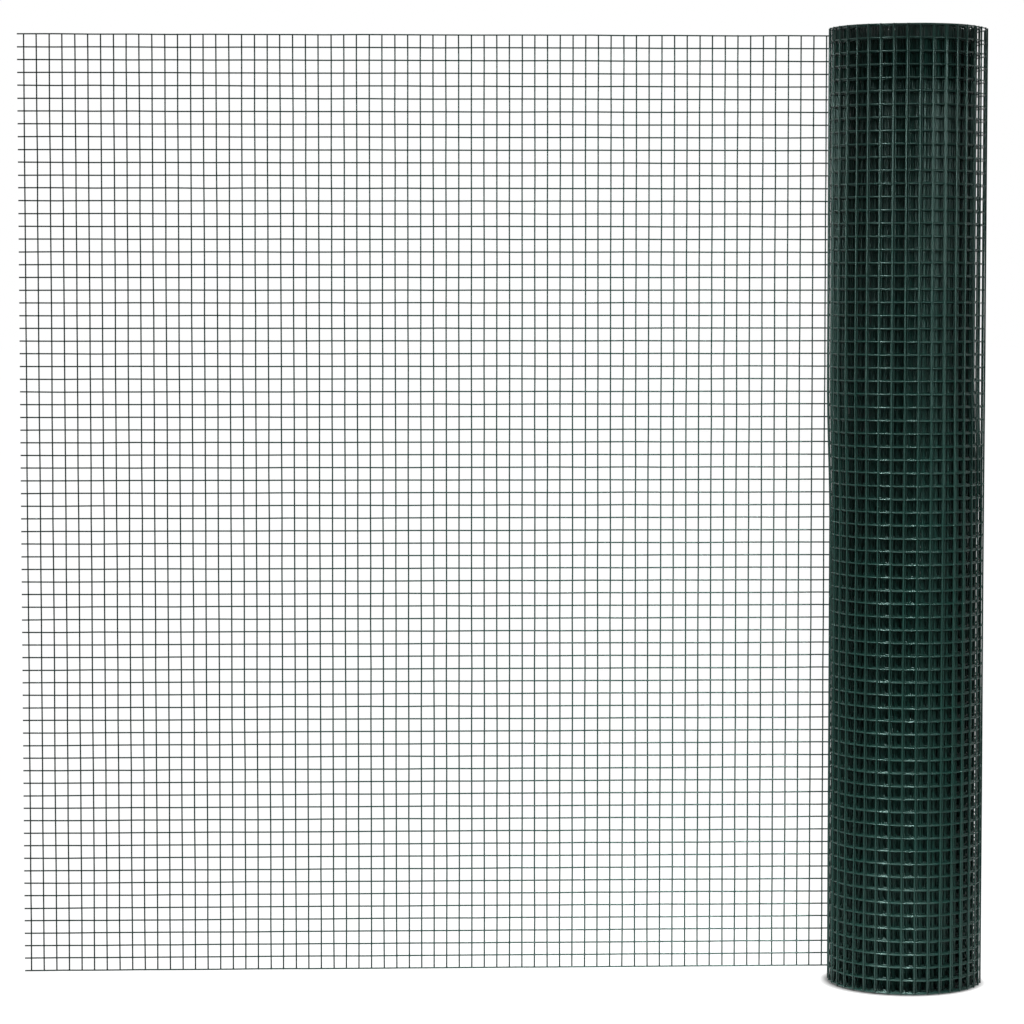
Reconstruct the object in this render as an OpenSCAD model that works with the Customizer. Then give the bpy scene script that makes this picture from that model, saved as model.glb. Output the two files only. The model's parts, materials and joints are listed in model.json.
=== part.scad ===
// Roll of green PVC-coated welded wire fencing, standing on its end
// with a length of the mesh drawn off flat beside it.
// Millimetres. +Z is the axis of the roll, z = 0 is the floor, and the
// mesh leaves the back of the roll and runs towards -X.

/* [Mesh] */
// Height of the fence over its outermost wires
fence_h = 1000; // [400:1:1500]
// Wire spacing, centre to centre, which the height and length round to whole cells
cell = 13.5; // [10:0.1:30]
// Diameter of a wire with its coating
wire_d = 1.5; // [1.1:0.05:2]
// How far two crossing wires sink into each other at a weld
weld_sink = 0.25; // [0.1:0.05:0.25]

/* [Roll] */
// Outside diameter of the wound turns
roll_d = 167; // [120:1:300]
// Diameter of the open bore
bore_d = 55; // [40:1:90]
// Radial room that one turn of mesh takes
turn_pitch = 2.75; // [2.2:0.05:4]
// Depth to which the gap between the turns shows on each end
turn_gap_depth = 4; // [1:0.5:12]

/* [Unrolled length] */
// Length of mesh drawn off the roll, from where it leaves the roll to its cut end
unrolled_l = 932; // [300:1:1500]

/* [Hidden] */
// Flat sides on a wire of the unrolled mesh
wire_sides = 6;
// Parts that the unrolled mesh is split into, along its length and up its height
length_bands = 4;
height_bands = 4;

roll_r = roll_d / 2;
bore_r = bore_d / 2;
wire_r = wire_d / 2;

// Whole cells, and the spacing that makes them fill the size exactly
cells_up = round((fence_h - wire_d) / cell);
row_pitch = (fence_h - wire_d) / cells_up;
line_wires = cells_up + 1;
cross_wires = round(unrolled_l / cell);
column_pitch = unrolled_l / cross_wires;

// The line wires lie against the roll, and the cross wires are welded outside them
line_wire_y = roll_r + wire_r;
cross_wire_y = line_wire_y + wire_d - weld_sink;

// The gap between the turns winds out from the first turn to the last one
gap_w = turn_pitch - wire_d;
first_gap_r = bore_r + wire_d + turn_pitch / 4;
last_gap_r = roll_r - wire_d - turn_pitch / 4 - gap_w;
half_turns = floor(2 * (last_gap_r - first_gap_r) / turn_pitch) + 1;

function mesh_name(i, j) = str("unrolled_mesh_", i + 1, "_", j + 1);
function first_in_band(count, bands, band) = floor(count * band / bands);
function row_z(row) = wire_r + row * row_pitch;
function row_edge_z(row) =
    row == 0 ? 0 : row == line_wires ? fence_h : row_z(row - 0.5);

// Half of a flat ring, on the +Y side for side 0 and the -Y side for side 1
module half_ring(inner_r, width, side) {
    outer_r = inner_r + width;
    intersection() {
        difference() {
            circle(r = outer_r, $fn = 96);
            circle(r = inner_r, $fn = 96);
        }
        translate([-outer_r, -side * outer_r]) square([2 * outer_r, outer_r]);
    }
}

// Spiral of half circles struck from two centres, ending where the mesh leaves the roll
module turn_gap() {
    rotate(90 - 180 * half_turns)
        for (k = [0 : half_turns - 1])
            translate([(k % 2 == 0 ? -1 : 1) * turn_pitch / 4, 0])
                half_ring(first_gap_r + k * turn_pitch / 2, gap_w, k % 2);
}

// The wound turns: a turned solid with its bore, and the turns showing on both ends
module wound_roll() {
    color("darkslategray")
        difference() {
            rotate_extrude($fn = 96)
                translate([bore_r, 0]) square([roll_r - bore_r, fence_h]);
            for (z = [-turn_gap_depth, fence_h - turn_gap_depth])
                translate([0, 0, z])
                    linear_extrude(height = 2 * turn_gap_depth) turn_gap();
        }
}

// A straight wire along +Z, with two of its edges towards +Y and -Y
module wire(length) {
    rotate(90) cylinder(d = wire_d, h = length, $fn = wire_sides);
}

// One part of the flat mesh: its upright cross wires welded to its level line wires
module unrolled_mesh(i, j) {
    first_column = first_in_band(cross_wires, length_bands, i);
    end_column = first_in_band(cross_wires, length_bands, i + 1);
    first_row = first_in_band(line_wires, height_bands, j);
    end_row = first_in_band(line_wires, height_bands, j + 1);
    low_z = row_edge_z(first_row);
    color("darkgreen") {
        for (column = [first_column : end_column - 1])
            translate([-(column + 0.5) * column_pitch, cross_wire_y, low_z])
                wire(row_edge_z(end_row) - low_z);
        for (row = [first_row : end_row - 1])
            translate([-first_column * column_pitch, line_wire_y, row_z(row)])
                rotate([0, -90, 0])
                    wire((end_column - first_column) * column_pitch);
    }
}

wound_roll();
for (i = [0 : length_bands - 1], j = [0 : height_bands - 1])
    unrolled_mesh(i, j);
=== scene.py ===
"""Roll of green coated wire fencing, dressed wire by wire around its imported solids."""

import json
import math

import bpy
import numpy as np
from bpy.props import FloatProperty, FloatVectorProperty, PointerProperty
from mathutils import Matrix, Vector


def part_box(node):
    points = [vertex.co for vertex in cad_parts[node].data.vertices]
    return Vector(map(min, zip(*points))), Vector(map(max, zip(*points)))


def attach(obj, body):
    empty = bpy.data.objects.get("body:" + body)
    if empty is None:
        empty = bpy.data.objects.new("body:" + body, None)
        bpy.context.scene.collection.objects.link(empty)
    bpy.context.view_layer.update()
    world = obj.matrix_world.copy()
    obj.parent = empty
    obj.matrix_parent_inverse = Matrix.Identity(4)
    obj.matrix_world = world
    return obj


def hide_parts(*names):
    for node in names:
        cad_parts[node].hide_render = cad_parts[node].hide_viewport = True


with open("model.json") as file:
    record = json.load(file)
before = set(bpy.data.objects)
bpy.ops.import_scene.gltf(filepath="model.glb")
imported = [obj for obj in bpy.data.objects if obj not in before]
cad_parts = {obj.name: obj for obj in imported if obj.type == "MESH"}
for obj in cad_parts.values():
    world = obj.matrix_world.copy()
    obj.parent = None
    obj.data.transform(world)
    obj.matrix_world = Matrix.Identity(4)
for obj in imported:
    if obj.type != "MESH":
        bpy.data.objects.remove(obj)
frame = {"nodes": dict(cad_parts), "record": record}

bl_info = {
    "name": "Wire Fencing Roll",
    "version": (1, 0, 0),
    "blender": (4, 5, 0),
    "location": "View3D > Sidebar > Fencing",
    "description": "Builds a standing roll of coated welded mesh with a length drawn off it",
    "category": "Add Mesh",
}

BODY = "root"
BAKE_MAP = "OFBake"
SEED = 402
TURN = 2 * math.pi

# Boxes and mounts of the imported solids, in metres
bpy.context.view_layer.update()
ROLL_LOW, ROLL_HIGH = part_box("wound_roll")
MESH_NODES = sorted(name for name in frame["nodes"] if name.startswith("unrolled_mesh"))
MESH_LOW = np.min([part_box(name)[0] for name in MESH_NODES], axis=0)
BORE = next(m for m in frame["record"]["mounts"] if m["name"] == "spindle_bore")
BORE_RADIUS = BORE["dims"]["r_mm"] / 1000

# The winding. A pair says where a change starts and how far it takes, as an angle in radians
# wound since the mesh met the roll, or as a height or a run in metres.
SPIRAL_POINTS = 6001
EXIT_LIFT_ENDS = (0.4, 2.2)
# Waves out of round: share, waves in a turn, radians for each metre of height, and phase
LUMP_WAVES = (
    (1.0, 2, 2.1, 1.3),
    (0.7, 3, -4.0, 0.0),
    (0.5, 5, 9.0, 0.6),
    (0.35, 9, -17.0, 0.0),
)
LUMP_SHARES = 2.5
LUMPS_START = (0.0, 0.9)
# Share of the shift in the lower and the upper half, and the height and angle where it changes
SHIFT_SHARES = (-0.9, 1.0)
SHIFT_TURNS_OVER = (0.48, 0.16)
SHIFT_STARTS = (2.0, 2.4)
# The rise is a slow wave of the angle, whose own pace sways
RISE_PACE = 0.37
RISE_SWAY = 0.8
RISE_SWAY_PACE = 0.21
RISE_STARTS = (0.0, 3.0)
# Runs along which wires lie straight near the exit and along which wear grows, then the share of wear
# taken off the turns under the outer one as painted shade, and the run over which it sets in
STRAIGHT_NEAR_EXIT = (0.0, 0.05)
WEAR_GROWS = (-0.25, 0.25)
INNER_PAINTED_SHADE = 0.2
INNER_SHADE_SPAN = 1.2

# Cells between the bends of a wandering wire
LINE_BEND_CELLS = 3
CROSS_BEND_CELLS = 4
# A weld bead against the wire's radius, across and out, and how far its two rings lie off its middle
BEAD_ACROSS = 1.25
BEAD_OUT = 1.2
BEAD_SPOKES = 6
BEAD_TILT = math.radians(28)
# Half size of a wire end in the UV map, along its strip and as a share of the strip's width
END_UV_LONG = 0.002
END_UV_WIDE = 0.3
# Angles at which the line wires of the roll are split into pieces
OUTER_END = 2 * TURN
SECOND_END = 8 * TURN
THIRD_END = 15 * TURN

# Sizes of the coating's patterns in metres: dusty patches, and the ripple of the skin, which is
# finer on real wire and drawn as coarse as it needs to show
DUST_PATCH = 0.03
SKIN_RIPPLE = 0.0012

# Floor in metres, and the part of the roll's radius from which its glow sets in and is full; withholding
# the glow round the roll's foot paints a shadow ring there over the paper's real shade
FLOOR_REACH = 40.0
FLOOR_DROP = 0.0002
FOOT_SHADE = (0.9, 1.1)
# Strength of the floor's glow where it is seen, and of the world where it only gives light
FLOOR_GLOW = 0.99
WORLD_FILL = 0.07
# How far back a reflected point or direction is fully backdrop
BACKDROP_DEPTH = 0.4
# Name, place, aim, width and height in metres, power in watts, and spread in degrees
LAMPS = (
    ("top_left_box", (-1.72, -1.68, 2.1), (0, 0, -0.1), (0.4, 0.2), 4.2, 36),
    ("top_right_box", (0.2, -2.39, 2.1), (0, 0, -0.1), (0.4, 0.2), 4.2, 36),
    ("left_strip", (-1.3, -1.4, 1.2), (0, 0, 0.85), (0.12, 0.9), 3.4, 60),
    ("right_strip", (1.1, -1.5, 1.2), (0, 0, 0.85), (0.12, 0.9), 1.2, 60),
)


def linear(hex_colour):
    """Linear RGB of an sRGB hex colour."""
    channels = np.array([int(hex_colour[i : i + 2], 16) for i in (1, 3, 5)]) / 255
    dark = channels / 12.92
    light = ((channels + 0.055) / 1.055) ** 2.4
    return tuple(np.where(channels <= 0.04045, dark, light))


def length_property(name, description, default):
    """Length in metres that a user may change."""
    return FloatProperty(
        name=name, description=description, default=default, unit="LENGTH", precision=5
    )


def colour_property(name, description, hex_colour):
    """Colour that a user may change, from an sRGB hex value."""
    return FloatVectorProperty(
        name=name,
        description=description,
        default=linear(hex_colour),
        subtype="COLOR",
        min=0,
        max=1,
    )


class FencingMesh(bpy.types.PropertyGroup):
    """Sizes of the welded mesh itself"""

    cell: length_property("Cell", "Wire spacing, centre to centre", 0.0135)
    wire_diameter: length_property("Wire", "Diameter of a wire with its coating", 0.0015)
    core_diameter: length_property("Core", "Diameter of the steel inside the coating", 0.0009)
    weld_sink: length_property("Weld sink", "How far crossing wires sink into each other", 0.00025)
    wander: length_property("Wander", "How far a wire strays from its straight line", 0.00022)


class FencingRoll(bpy.types.PropertyGroup):
    """Sizes of the winding"""

    turn_pitch: length_property("Turn pitch", "Radial room of a turn, on average", 0.00285)
    outer_pitch: length_property("Outer pitch", "Radial room of the outermost turn", 0.00289)
    exit_lift: length_property("Exit lift", "How far the mesh stands off where it leaves", 0.0036)
    lumps: length_property("Lumps", "How far the turns are out of round", 0.0005)
    shift: length_property("Shift", "How far the turns under the outer one sit to a side", 0.002)
    rise: length_property("Rise", "How far a turn stands above the one beside it", 0.0016)


class FencingFinish(bpy.types.PropertyGroup):
    """Colours of the wire"""

    coating: colour_property("Coating", "Dark green coating", "#042F28")
    # Pale coating shows in full on the outer turn; the turns under it take less of it as painted shade
    coating_pale: colour_property("Pale coating", "Scuffed and dusty coating", "#152D28")
    steel: colour_property("Steel", "Cut end of the steel core", "#B9BCBE")


class FencingStage(bpy.types.PropertyGroup):
    """Floor and camera"""

    floor: colour_property("Floor", "Pale floor, as it lights the roll", "#D8D8D8")
    floor_seen: colour_property(
        "Seen floor", "Floor under the glow that lifts it to white", "#7C7C7C"
    )
    camera_place: FloatVectorProperty(
        name="Camera",
        description="Where the camera stands",
        default=(-0.545, -3.634, 0.728),
        unit="LENGTH",
    )
    camera_turn: FloatVectorProperty(
        name="Camera turn",
        description="Camera's pitch down and yaw to the right",
        default=(math.radians(3.62), math.radians(2.09)),
        size=2,
        unit="ROTATION",
    )
    lens: FloatProperty(name="Lens", description="Focal length in millimetres", default=122.55)


def eased(x, start, span):
    """0 up to start and 1 from start + span on. Between them, 3 s squared less 2 s cubed."""
    s = np.clip((x - start) / span, 0, 1)
    return s * s * (3 - 2 * s)


class Winding:
    """Where the mesh lies: on the flat length at a run below zero, and above it on the spiral.

    The flat length runs from -X to the line x = 0 at the back of the roll. From there the spiral
    winds inward, clockwise seen from above. Its radius falls by the outer pitch in the first turn
    and a little less in each turn after it, so the outside is looser than the inside. The run is
    the radius summed over the angle.
    """

    def __init__(self, mesh, roll):
        self.lift = roll.exit_lift
        self.lumps = roll.lumps
        self.shift = roll.shift
        self.rise_height = roll.rise
        self.flat_length = -MESH_LOW[0]
        self.sheet_y = MESH_LOW[1] + mesh.wire_diameter / 2
        self.exit_radius = self.sheet_y - self.lift
        self.inner_radius = BORE_RADIUS + mesh.wire_diameter / 2
        self.depth = self.exit_radius - self.inner_radius
        turns = self.depth / roll.turn_pitch
        self.last_angle = TURN * turns
        self.angles = np.linspace(0, self.last_angle, SPIRAL_POINTS)
        turn = self.angles / TURN
        tighter = (roll.outer_pitch - roll.turn_pitch) / turns
        self.radii = self.exit_radius - roll.outer_pitch * turn + tighter * turn**2
        middle_radii = (self.radii[1:] + self.radii[:-1]) / 2
        self.runs = np.concatenate([[0], np.cumsum(middle_radii * np.diff(self.angles))])
        self.run_end = self.runs[-1]

    def run_at(self, angle):
        """Run at an angle of the spiral."""
        return np.interp(angle, self.angles, self.runs)

    def runs_between(self, first_angle, last_angle, steps):
        """Runs at even angles, with the given steps in a turn."""
        rings = round((last_angle - first_angle) / TURN * steps) + 1
        return self.run_at(np.linspace(first_angle, last_angle, rings))

    def out_of_round(self, angle, radius, height):
        """Sum of long waves round and up the roll, the same on every turn so that the turns nest.

        The turns under the outer one also sit to the left in the upper half, which leaves it slack
        on the right, and to the right in the lower half. All of it fades towards the bore.
        """
        around = math.pi / 2 - angle
        waves = sum(
            share * np.cos(count * around + climb * height + phase)
            for share, count, climb, phase in LUMP_WAVES
        )
        lumps = self.lumps * waves / LUMP_SHARES * eased(angle, *LUMPS_START)
        lower, upper = SHIFT_SHARES
        side = lower + (upper - lower) * eased(height, *SHIFT_TURNS_OVER)
        slack = -self.shift * np.cos(around) * side * eased(angle, *SHIFT_STARTS)
        outer_share = (radius - self.inner_radius) / self.depth
        return (lumps + slack) * outer_share

    def place(self, run, height, outward):
        """Point on the mesh, `outward` metres off its line wires, and the ways out and along.

        On the spiral it is the point at the run's angle and radius, with the lift near the exit
        and the waves added to the radius, and a slow wave of the angle added to the height.
        """
        wound = run > 0
        angle = np.interp(run, self.runs, self.angles)
        radius = np.interp(run, self.runs, self.radii)
        stand_off = self.lift * (1 - eased(angle, *EXIT_LIFT_ENDS))
        radius = radius + stand_off + outward + self.out_of_round(angle, radius, height)
        around = math.pi / 2 - angle
        sway = RISE_SWAY * np.sin(RISE_SWAY_PACE * angle)
        telescoped = 0.5 - 0.5 * np.cos(RISE_PACE * angle + sway)
        rise = self.rise_height * telescoped * eased(angle, *RISE_STARTS)
        x = np.where(wound, radius * np.cos(around), run)
        y = np.where(wound, radius * np.sin(around), self.sheet_y + outward)
        points = np.stack(np.broadcast_arrays(x, y, height + rise), axis=-1)
        flat = np.zeros_like(angle)
        out = np.stack(np.broadcast_arrays(np.cos(around), np.sin(around), flat), axis=-1)
        along = np.stack(np.broadcast_arrays(np.sin(around), -np.cos(around), flat), axis=-1)
        return points, np.broadcast_to(out, points.shape), np.broadcast_to(along, points.shape)

    def wear_and_shade(self, run):
        """How handled and dusty the coating is, with painted shade: 1 on the outer turn and less on the
        flat, and less on the turns under the outer one, which is painted shade.
        """
        further_in = eased(run, self.run_at(TURN), INNER_SHADE_SPAN)
        return eased(run, *WEAR_GROWS) * (1 - INNER_PAINTED_SHADE * further_in)


def wander(rng, wires, positions, reach, spacing):
    """Smooth random sideways offsets for each wire.

    Each wire has a random value every `spacing` metres, and eases from one value to the next.
    """
    knots = int(np.ptp(positions) / spacing) + 3
    values = rng.uniform(-reach, reach, (wires, knots))
    place = (positions - positions.min()) / spacing
    low = np.floor(place).astype(int)
    share = eased(place - low, 0, 1)
    return values[:, low] * (1 - share) + values[:, low + 1] * share


def add_object(name, points, faces, corner_uvs, wear_and_shade, slots, smooth, materials):
    """Object at the origin from arrays of points, faces, UVs, wear with painted shade, and material
    slots.

    faces is a list with one (count, corners) array for each number of corners.
    """
    mesh = bpy.data.meshes.new(name)
    sizes = np.concatenate([np.full(len(f), f.shape[1]) for f in faces])
    starts = np.concatenate([[0], np.cumsum(sizes)[:-1]])
    corners = np.concatenate([f.ravel() for f in faces])
    mesh.vertices.add(len(points))
    mesh.vertices.foreach_set("co", points.astype(np.float32).ravel())
    mesh.loops.add(len(corners))
    mesh.loops.foreach_set("vertex_index", corners.astype(np.int32))
    mesh.polygons.add(len(sizes))
    mesh.polygons.foreach_set("loop_start", starts.astype(np.int32))
    mesh.polygons.foreach_set("material_index", slots.astype(np.int32))
    mesh.polygons.foreach_set("use_smooth", smooth)
    layer = mesh.uv_layers.new(name=BAKE_MAP)
    layer.data.foreach_set("uv", corner_uvs.astype(np.float32).ravel())
    # Point attribute of wear, with painted shade on the turns under the outer one
    wear_and_shade_layer = mesh.attributes.new("wear_and_shade", "FLOAT", "POINT")
    wear_and_shade_layer.data.foreach_set("value", wear_and_shade.astype(np.float32).ravel())
    mesh.update(calc_edges=True)
    mesh.validate()
    for material in materials:
        mesh.materials.append(material)
    piece = bpy.data.objects.new(name, mesh)
    bpy.context.scene.collection.objects.link(piece)
    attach(piece, BODY)
    return piece


def end_uvs(faces, wires):
    """Small polygon in the UV strip of its own wire for each face on a wire's end."""
    count, sides = faces.shape
    lane = np.repeat(np.arange(count) * wires // count, sides)
    corner = np.tile(np.arange(sides), count) * TURN / sides
    u = 0.5 + END_UV_LONG * np.cos(corner)
    v = (lane + 0.5 + END_UV_WIDE * np.sin(corner)) / wires
    return np.stack([u, v], axis=-1)


def tubes(name, centres, across, beside, wear_and_shade, radius, sides, materials, core_radius=None):
    """Joined round wires: a circle in the plane of `across` and `beside`, carried along `centres`.

    centres, across and beside are (wires, rings, 3) arrays, and across x beside points along the
    wire. Each end is closed by a ring of coating round a disc of steel, or by a plain disc where no
    core radius is given. In the UV map each wire has a strip of its own.
    """
    wires, rings = centres.shape[:2]
    turn = TURN * np.arange(sides) / sides
    cosines, sines = np.cos(turn)[:, None], np.sin(turn)[:, None]
    circle = cosines * across[:, :, None] + sines * beside[:, :, None]
    wall = centres[:, :, None] + radius * circle
    ring_of = np.arange(wires * rings * sides).reshape(wires, rings, sides)
    after = np.roll(ring_of, -1, axis=2)
    quads = np.stack([ring_of[:, :-1], after[:, :-1], after[:, 1:], ring_of[:, 1:]], axis=-1)
    lane, step, spoke = np.indices((wires, rings - 1, sides))
    u = np.stack([step, step, step + 1, step + 1], axis=-1) / (rings - 1)
    v_in_strip = np.stack([spoke, spoke + 1, spoke + 1, spoke], axis=-1) / sides
    v = (lane[..., None] + v_in_strip) / wires
    points = [wall.reshape(-1, 3)]
    # Wear with painted shade for each point of the wall, and further down for the core
    wear_and_shade_parts = [np.repeat(wear_and_shade.ravel(), sides)]
    faces = [quads.reshape(-1, 4)]
    uvs = [np.stack([u, v], axis=-1).reshape(-1, 2)]
    end_rings = np.stack([ring_of[:, 0, ::-1], ring_of[:, -1]], axis=1)
    caps = end_rings
    if core_radius is not None:
        core = centres[:, [0, -1], None] + core_radius * circle[:, [0, -1]]
        core[:, 0] = core[:, 0, ::-1]
        caps = wires * rings * sides + np.arange(wires * 2 * sides).reshape(wires, 2, sides)
        rims = np.stack(
            [end_rings, np.roll(end_rings, -1, axis=2), np.roll(caps, -1, axis=2), caps], axis=-1
        )
        points.append(core.reshape(-1, 3))
        wear_and_shade_parts.append(np.repeat(wear_and_shade[:, [0, -1]].ravel(), sides))
        faces[0] = np.concatenate([faces[0], rims.reshape(-1, 4)])
        uvs.append(end_uvs(rims.reshape(-1, 4), wires))
    faces.append(caps.reshape(-1, sides))
    uvs.append(end_uvs(faces[1], wires))
    slots = np.zeros(len(faces[0]) + len(faces[1]))
    slots[len(faces[0]) :] = 0 if core_radius is None else 1
    smooth = np.arange(len(slots)) < quads.size // 4
    return add_object(
        name,
        np.concatenate(points),
        faces,
        np.concatenate(uvs),
        np.concatenate(wear_and_shade_parts),
        slots,
        smooth,
        materials,
    )


def weld_beads(name, centres, out, along, wear_and_shade, across_radius, out_radius, materials):
    """Joined ellipsoids, one on each crossing: two rings of points between two poles."""
    spoke = np.arange(BEAD_SPOKES)
    turn = TURN * spoke / BEAD_SPOKES
    up = np.zeros_like(out)
    up[:, 2] = 1
    ring = np.cos(turn)[:, None] * along[:, None] + np.sin(turn)[:, None] * up[:, None]
    wide = across_radius * math.cos(BEAD_TILT) * ring
    deep = out_radius * math.sin(BEAD_TILT) * out[:, None]
    inner = centres[:, None] + wide - deep
    outer = centres[:, None] + wide + deep
    poles = np.stack([centres - out_radius * out, centres + out_radius * out], axis=1)
    points = np.concatenate([inner, outer, poles], axis=1)
    first = np.arange(len(centres))[:, None] * points.shape[1]
    inner_at = first + spoke
    inner_after = first + (spoke + 1) % BEAD_SPOKES
    outer_at = inner_at + BEAD_SPOKES
    outer_after = inner_after + BEAD_SPOKES
    inner_pole = np.broadcast_to(first + 2 * BEAD_SPOKES, inner_at.shape)
    outer_pole = inner_pole + 1
    # The ring turns from `along` to up, and along x up points inward, so faces run the other way
    belt = np.stack([inner_after, inner_at, outer_at, outer_after], axis=-1).reshape(-1, 4)
    low = np.stack([inner_at, inner_after, inner_pole], axis=-1).reshape(-1, 3)
    high = np.stack([outer_after, outer_at, outer_pole], axis=-1).reshape(-1, 3)
    faces = [belt, np.concatenate([low, high])]
    count = sum(len(f) for f in faces)
    return add_object(
        name,
        points.reshape(-1, 3),
        faces,
        np.concatenate([end_uvs(f, len(centres)) for f in faces]),
        np.repeat(wear_and_shade, points.shape[1]),
        np.zeros(count),
        np.ones(count, bool),
        materials,
    )


def add_node(tree, kind, inputs=None, **properties):
    """Adds a node, sets its properties, and sets each input to a value or links it to a socket."""
    node = tree.nodes.new(kind)
    for key, value in properties.items():
        setattr(node, key, value)
    for key, value in (inputs or {}).items():
        if isinstance(value, bpy.types.NodeSocket):
            tree.links.new(value, node.inputs[key])
        else:
            node.inputs[key].default_value = value
    return node


def new_material(name):
    """Material with an empty node tree, made anew or emptied."""
    material = bpy.data.materials.get(name) or bpy.data.materials.new(name)
    material.use_nodes = True
    material.node_tree.nodes.clear()
    return material


def coating_material(finish):
    """Extruded PVC on wire: dark green, half glossy, with paler scuffs and dust, a painted shade that
    darkens the turns under the outer one, and a fine uneven skin.
    """
    material = new_material("green_pvc_coating")
    tree = material.node_tree
    place = add_node(tree, "ShaderNodeTexCoord").outputs["Object"]
    patch = add_node(
        tree, "ShaderNodeTexNoise", {"Vector": place, "Scale": 1 / DUST_PATCH, "Detail": 4}
    )
    grain = add_node(
        tree, "ShaderNodeTexNoise", {"Vector": place, "Scale": 1 / SKIN_RIPPLE, "Detail": 2}
    )
    # Wear and painted shade: the pale coating shows most on the outer turn, less on the turns under it
    wear_shade_attribute = add_node(tree, "ShaderNodeAttribute", attribute_name="wear_and_shade")
    uneven = add_node(
        tree,
        "ShaderNodeMapRange",
        {
            "Value": patch.outputs["Fac"],
            "From Min": 0.35,
            "From Max": 0.65,
            "To Min": -0.25,
            "To Max": 0.25,
        },
    )
    wear_and_shade = add_node(
        tree,
        "ShaderNodeMath",
        {0: wear_shade_attribute.outputs["Fac"], 1: uneven.outputs["Result"]},
        operation="ADD",
        use_clamp=True,
    )
    # Inputs 6 and 7 of a colour mix are its two colours, and output 2 is the mixed one
    colour = add_node(
        tree,
        "ShaderNodeMix",
        {0: wear_and_shade.outputs["Value"], 6: (*finish.coating, 1), 7: (*finish.coating_pale, 1)},
        data_type="RGBA",
    )
    gloss = add_node(
        tree, "ShaderNodeMapRange", {"Value": grain.outputs["Fac"], "To Min": 0.24, "To Max": 0.36}
    )
    bump = add_node(
        tree,
        "ShaderNodeBump",
        {"Height": grain.outputs["Fac"], "Strength": 0.25, "Distance": 0.00004},
    )
    shader = add_node(
        tree,
        "ShaderNodeBsdfPrincipled",
        {
            "Base Color": colour.outputs[2],
            "Roughness": gloss.outputs["Result"],
            "Normal": bump.outputs["Normal"],
            "IOR": 1.53,
            "Specular Tint": (0.7, 1, 0.94, 1),
        },
    )
    add_node(tree, "ShaderNodeOutputMaterial", {"Surface": shader.outputs["BSDF"]})
    return material


def steel_material(finish):
    """Galvanised steel, sheared: bright grey metal on the cut ends of the core."""
    material = new_material("galvanised_steel_core")
    tree = material.node_tree
    shader = add_node(
        tree,
        "ShaderNodeBsdfPrincipled",
        {"Base Color": (*finish.steel, 1), "Metallic": 1, "Roughness": 0.45},
    )
    add_node(tree, "ShaderNodeOutputMaterial", {"Surface": shader.outputs["BSDF"]})
    return material


def seen_white(tree, behind):
    """Socket that is 1 for rays from the camera or through a clear surface.

    It is also 1 for reflections of what lies behind the roll. `behind` is the socket that holds how
    far back the point or direction is.
    """
    path = add_node(tree, "ShaderNodeLightPath")
    backdrop = add_node(
        tree, "ShaderNodeMapRange", {"Value": behind, "From Min": 0, "From Max": BACKDROP_DEPTH}
    )
    mirrored = add_node(
        tree,
        "ShaderNodeMath",
        {0: path.outputs["Is Glossy Ray"], 1: backdrop.outputs["Result"]},
        operation="MULTIPLY",
    )
    through = add_node(
        tree,
        "ShaderNodeMath",
        {0: path.outputs["Is Camera Ray"], 1: path.outputs["Is Transmission Ray"]},
        operation="MAXIMUM",
    )
    either = add_node(
        tree,
        "ShaderNodeMath",
        {0: through.outputs["Value"], 1: mirrored.outputs["Value"]},
        operation="MAXIMUM",
    )
    return either.outputs["Value"]


def paper_material(stage):
    """Studio paper: matt, and lifted to white where it is seen, but not under and round the roll's foot,
    where the withheld glow paints a shadow ring over the paper's real shade.
    """
    material = new_material("white_paper_floor")
    tree = material.node_tree
    place = add_node(tree, "ShaderNodeTexCoord").outputs["Object"]
    parts = add_node(tree, "ShaderNodeSeparateXYZ", {"Vector": place})
    apart = add_node(tree, "ShaderNodeVectorMath", {0: place}, operation="LENGTH")
    glow_with_painted_shadow = add_node(
        tree,
        "ShaderNodeMapRange",
        {
            "Value": apart.outputs["Value"],
            "From Min": FOOT_SHADE[0] * ROLL_HIGH[0],
            "From Max": FOOT_SHADE[1] * ROLL_HIGH[0],
            "To Max": FLOOR_GLOW,
        },
        interpolation_type="SMOOTHSTEP",
    )
    paper = add_node(tree, "ShaderNodeBsdfDiffuse", {"Color": (*stage.floor, 1)})
    glow = add_node(tree, "ShaderNodeEmission", {"Strength": glow_with_painted_shadow.outputs["Result"]})
    seen = add_node(tree, "ShaderNodeBsdfDiffuse", {"Color": (*stage.floor_seen, 1)})
    lifted = add_node(
        tree, "ShaderNodeAddShader", {0: seen.outputs["BSDF"], 1: glow.outputs["Emission"]}
    )
    surface = add_node(
        tree,
        "ShaderNodeMixShader",
        {
            0: seen_white(tree, parts.outputs["Y"]),
            1: paper.outputs["BSDF"],
            2: lifted.outputs["Shader"],
        },
    )
    add_node(tree, "ShaderNodeOutputMaterial", {"Surface": surface.outputs["Shader"]})
    return material


def add_floor(stage):
    """Level floor just under the roll, far wider than the view."""
    corners = np.array([(-1, -1, 0), (1, -1, 0), (1, 1, 0), (-1, 1, 0)]) * FLOOR_REACH
    corners[:, 2] = -FLOOR_DROP
    mesh = bpy.data.meshes.new("floor")
    mesh.from_pydata(corners.tolist(), [], [(0, 1, 2, 3)])
    floor = bpy.data.objects.new("floor", mesh)
    bpy.context.scene.collection.objects.link(floor)
    mesh.materials.append(paper_material(stage))


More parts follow.
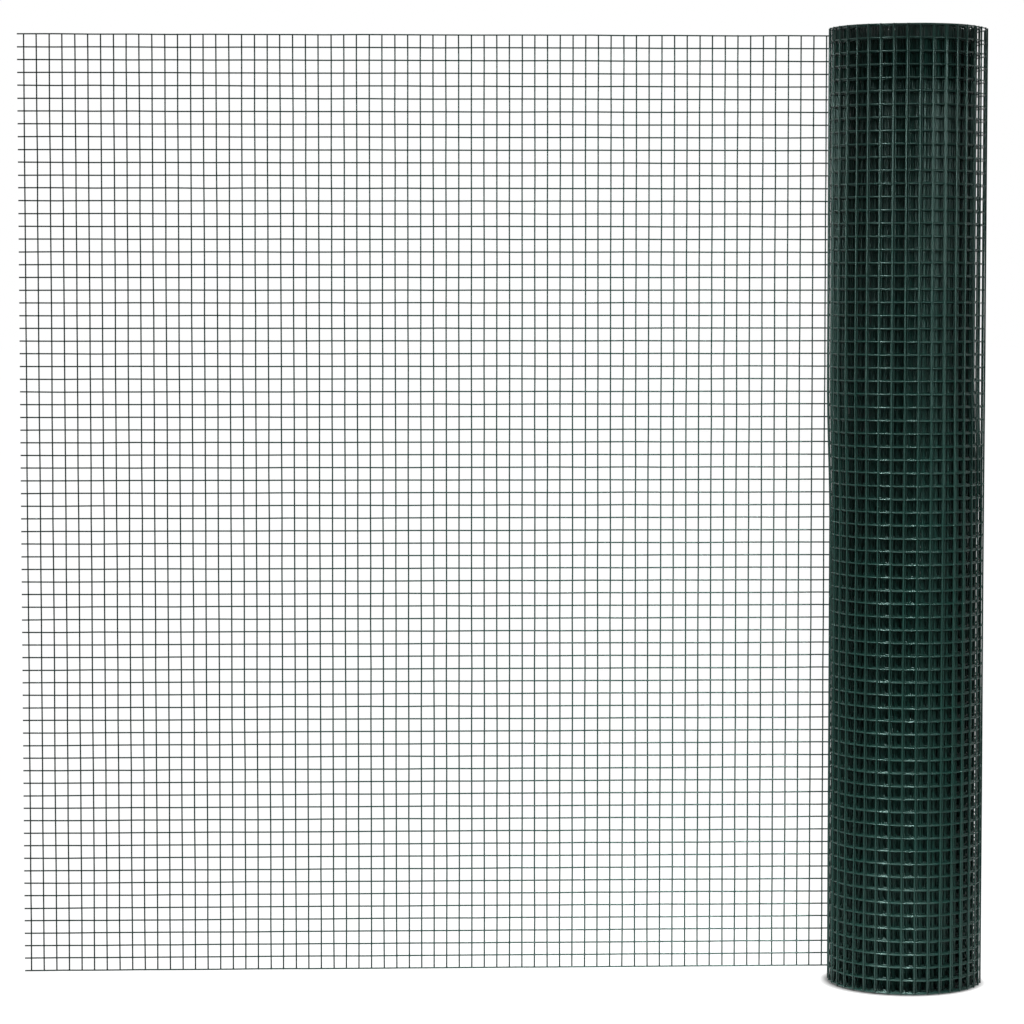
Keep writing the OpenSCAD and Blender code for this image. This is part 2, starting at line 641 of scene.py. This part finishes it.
def add_world(scene):
    """White where it is seen, and a dim fill as light."""
    world = bpy.data.worlds.new("studio")
    scene.world = world
    world.use_nodes = True
    tree = world.node_tree
    tree.nodes.clear()
    way = add_node(tree, "ShaderNodeTexCoord").outputs["Generated"]
    parts = add_node(tree, "ShaderNodeSeparateXYZ", {"Vector": way})
    strength = add_node(
        tree,
        "ShaderNodeMapRange",
        {"Value": seen_white(tree, parts.outputs["Y"]), "To Min": WORLD_FILL, "To Max": 1},
    )
    light = add_node(
        tree,
        "ShaderNodeBackground",
        {"Color": (1, 1, 1, 1), "Strength": strength.outputs["Result"]},
    )
    add_node(tree, "ShaderNodeOutputWorld", {"Surface": light.outputs["Background"]})


def add_lights(scene):
    """Two gridded soft boxes high in front, aimed low, and a strip on each side of the camera."""
    for name, place, aim, size, power, spread in LAMPS:
        light = bpy.data.lights.new(name, "AREA")
        light.shape = "RECTANGLE"
        light.size, light.size_y = size
        light.energy = power
        light.spread = math.radians(spread)
        lamp = bpy.data.objects.new(name, light)
        lamp.location = place
        way = np.array(aim, float) - np.array(place)
        flat = math.hypot(way[0], way[1])
        lamp.rotation_euler = (math.atan2(flat, -way[2]), 0, math.atan2(-way[0], way[1]))
        lamp.visible_camera = False
        scene.collection.objects.link(lamp)


def add_camera(scene, stage):
    """Camera in front of the mesh, a little above its middle, looking slightly down."""
    camera = bpy.data.cameras.new("camera")
    camera.lens = stage.lens
    camera.sensor_width = 36
    camera.clip_end = 200
    seer = bpy.data.objects.new("camera", camera)
    seer.location = stage.camera_place
    pitch, yaw = stage.camera_turn
    seer.rotation_euler = (math.pi / 2 - pitch, 0, -yaw)
    scene.collection.objects.link(seer)
    scene.camera = seer


class FencingData:
    """What every piece needs: sizes, winding, heights and runs of the wires, and materials"""

    def __init__(self, scene):
        self.mesh = scene.fencing_mesh
        self.winding = Winding(self.mesh, scene.fencing_roll)
        self.wire_radius = self.mesh.wire_diameter / 2
        self.core_radius = self.mesh.core_diameter / 2
        self.cross_outward = self.mesh.wire_diameter - self.mesh.weld_sink
        self.height = ROLL_HIGH[2] - ROLL_LOW[2]
        cells = round((self.height - self.mesh.wire_diameter) / self.mesh.cell)
        self.row_heights = np.linspace(self.wire_radius, self.height - self.wire_radius, cells + 1)
        columns = round(self.winding.flat_length / self.mesh.cell)
        pitch = self.winding.flat_length / columns
        self.flat_runs = -(np.arange(columns) + 0.5) * pitch
        self.wound_runs = np.arange(0.5 * pitch, self.winding.run_end, pitch)
        finish = scene.fencing_finish
        self.materials = [coating_material(finish), steel_material(finish)]

    def line_wires(self, name, runs, rows, sides, seed, core_radius=None):
        """Level wires along the runs, at the heights of the given rows."""
        rng = np.random.default_rng(SEED + seed)
        stray = wander(rng, len(rows), runs, self.mesh.wander, LINE_BEND_CELLS * self.mesh.cell)
        stray = stray * eased(np.abs(runs), *STRAIGHT_NEAR_EXIT)
        row_heights = self.row_heights[rows][:, None]
        # No wire strays below the floor
        height = row_heights + np.maximum(stray, self.wire_radius - row_heights)
        points, out, _ = self.winding.place(runs[None, :], height, 0.0)
        wear_and_shade = np.broadcast_to(self.winding.wear_and_shade(runs), height.shape)
        up = np.zeros_like(out)
        up[..., 2] = 1
        return tubes(
            name, points, out, up, wear_and_shade, self.wire_radius, sides, self.materials, core_radius
        )

    def cross_wires(self, name, runs, rings, sides, seed):
        """Upright wires at the given runs, welded outside the line wires."""
        rng = np.random.default_rng(SEED + seed)
        heights = np.linspace(0, self.height, rings)
        spacing = CROSS_BEND_CELLS * self.mesh.cell
        strayed = runs[:, None] + wander(rng, len(runs), heights, self.mesh.wander, spacing)
        points, out, along = self.winding.place(strayed, heights[None, :], self.cross_outward)
        wear_and_shade = np.broadcast_to(self.winding.wear_and_shade(runs)[:, None], strayed.shape)
        return tubes(
            name, points, out, -along, wear_and_shade, self.wire_radius, sides, self.materials, self.core_radius
        )

    def welds(self, name, runs):
        """Beads of coating on the crossings of the given cross wires with every line wire."""
        run, height = (a.ravel() for a in np.meshgrid(runs, self.row_heights))
        points, out, along = self.winding.place(run, height, self.cross_outward / 2)
        return weld_beads(
            name,
            points,
            out,
            along,
            self.winding.wear_and_shade(run),
            self.wire_radius * BEAD_ACROSS,
            self.wire_radius * BEAD_OUT,
            self.materials[:1],
        )


class FENCING_OT_unrolled_mesh(bpy.types.Operator):
    """Build the flat length of mesh that is drawn off the roll"""

    bl_idname = "fencing.unrolled_mesh"
    bl_label = "Unrolled mesh"

    def execute(self, context):
        data = FencingData(context.scene)
        rows = np.arange(len(data.row_heights))
        runs = np.linspace(-data.winding.flat_length, 0, num=47)
        lines = data.line_wires(
            "unrolled_line_wires", runs, rows, sides=8, seed=1, core_radius=data.core_radius
        )
        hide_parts(*MESH_NODES)
        data.cross_wires("unrolled_cross_wires", data.flat_runs, rings=38, sides=8, seed=2)
        data.welds("unrolled_welds", data.flat_runs)
        return {"FINISHED"}


class FENCING_OT_outer_turns(bpy.types.Operator):
    """Build the two outermost turns of the roll, which show in full"""

    bl_idname = "fencing.outer_turns"
    bl_label = "Outer turns"

    def execute(self, context):
        data = FencingData(context.scene)
        rows = np.arange(len(data.row_heights))
        runs = data.winding.runs_between(0, OUTER_END, steps=72)
        lines = data.line_wires("outer_line_wires", runs, rows, sides=6, seed=3)
        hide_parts("wound_roll")
        cross = data.wound_runs[data.wound_runs < runs[-1]]
        data.cross_wires("outer_cross_wires", cross, rings=38, sides=8, seed=4)
        data.welds("outer_welds", cross[cross < data.winding.run_at(TURN)])
        return {"FINISHED"}


class FENCING_OT_inner_turns(bpy.types.Operator):
    """Build the turns under the outermost two, down to the bore"""

    bl_idname = "fencing.inner_turns"
    bl_label = "Inner turns"

    def execute(self, context):
        data = FencingData(context.scene)
        rows = np.arange(len(data.row_heights))
        middle = rows[2:-2]
        ends = np.concatenate([rows[:2], rows[-2:]])
        bore = data.winding.last_angle
        # The deeper a turn lies, the fewer steps its wires need
        for name, first_angle, last_angle, steps in (
            ("second_line_wires", OUTER_END, SECOND_END, 48),
            ("third_line_wires", SECOND_END, THIRD_END, 34),
            ("inner_line_wires", THIRD_END, bore, 30),
        ):
            runs = data.winding.runs_between(first_angle, last_angle, steps)
            data.line_wires(name, runs, middle, sides=4, seed=5)
        runs = data.winding.runs_between(OUTER_END, bore, steps=40)
        data.line_wires("end_line_wires", runs, ends, sides=6, seed=6)
        cross = data.wound_runs[data.wound_runs >= runs[0]]
        data.cross_wires("inner_cross_wires", cross, rings=12, sides=6, seed=7)
        return {"FINISHED"}


class FENCING_OT_stage(bpy.types.Operator):
    """Build the floor, the backdrop, the lights and the camera"""

    bl_idname = "fencing.stage"
    bl_label = "Stage"

    def execute(self, context):
        scene = context.scene
        stage = scene.fencing_stage
        add_floor(stage)
        add_world(scene)
        add_lights(scene)
        add_camera(scene, stage)
        scene.view_settings.view_transform = "Standard"
        return {"FINISHED"}


class FENCING_PT_panel(bpy.types.Panel):
    """Lists the sizes and colours, and the steps that build the roll"""

    bl_label = "Wire fencing roll"
    bl_idname = "FENCING_PT_panel"
    bl_space_type = "VIEW_3D"
    bl_region_type = "UI"
    bl_category = "Fencing"

    def draw(self, context):
        layout = self.layout
        for group in GROUPS:
            settings = getattr(context.scene, group)
            box = layout.box()
            for name in settings.__annotations__:
                box.prop(settings, name)
        for operator in OPERATORS:
            layout.operator(operator.bl_idname)


GROUPS = {
    "fencing_mesh": FencingMesh,
    "fencing_roll": FencingRoll,
    "fencing_finish": FencingFinish,
    "fencing_stage": FencingStage,
}
OPERATORS = (
    FENCING_OT_unrolled_mesh,
    FENCING_OT_outer_turns,
    FENCING_OT_inner_turns,
    FENCING_OT_stage,
)
CLASSES = (*GROUPS.values(), *OPERATORS, FENCING_PT_panel)


def register():
    for cls in CLASSES:
        bpy.utils.register_class(cls)
    for name, group in GROUPS.items():
        setattr(bpy.types.Scene, name, PointerProperty(type=group))


def unregister():
    for name in GROUPS:
        delattr(bpy.types.Scene, name)
    for cls in reversed(CLASSES):
        bpy.utils.unregister_class(cls)


def main():
    register()
    bpy.ops.fencing.unrolled_mesh()
    bpy.ops.fencing.outer_turns()
    bpy.ops.fencing.inner_turns()
    bpy.ops.fencing.stage()


if __name__ == "__main__":
    main()
